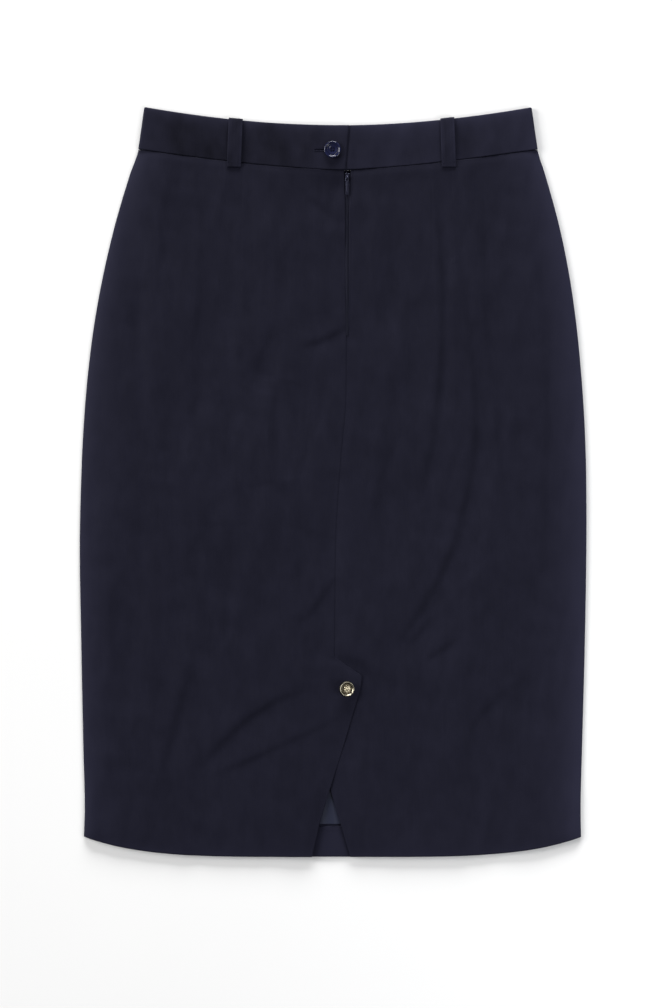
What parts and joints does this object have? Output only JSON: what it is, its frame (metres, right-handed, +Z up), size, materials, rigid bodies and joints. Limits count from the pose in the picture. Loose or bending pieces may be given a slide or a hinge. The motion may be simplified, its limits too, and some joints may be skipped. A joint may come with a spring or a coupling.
{
  "type": "skirt",
  "caption": "Straight knee-length skirt laid flat, back up: waistband with belt loops and button, back zip, centre seam and a buttoned vent.",
  "frame": {"origin": "on the surface the skirt lies on, under the middle of its length and width", "axes": "+X to the viewer's right as the back is seen from above, +Y towards the waist, +Z up from the surface"},
  "size_m": [0.4507, 0.6665, 0.0127],
  "materials": {
    "cloth": "matte, fine weave, navy black",
    "lining": "satin lining, dark blue",
    "zip_tape": "woven tape with a nylon coil, dark navy",
    "zip_metal": "dark navy lacquer over cast metal",
    "waist_button": "polished navy",
    "vent_button": "pale gold plate, polished"
  },
  "bodies": {
    "skirt": {"front_panel": "cloth", "back_panel_left": "cloth", "back_panel_right": "cloth", "waistband": "cloth", "belt_loop_left": "cloth", "belt_loop_right": "cloth", "vent_lining": "lining", "zip_tape": "zip_tape", "zip_slider": "zip_metal", "waist_button": "waist_button", "vent_button": "vent_button"},
    "zip_pull": {"zip_pull_tab": "zip_metal"}
  },
  "joints": [
    {"name": "pull_tab_hinge", "type": "hinge", "parent": "skirt", "child": "zip_pull", "pos_m": [0.0125, 0.2705, 0.0049], "axis": [-1, 0, 0], "range_deg": [0, 150]}
  ]
}
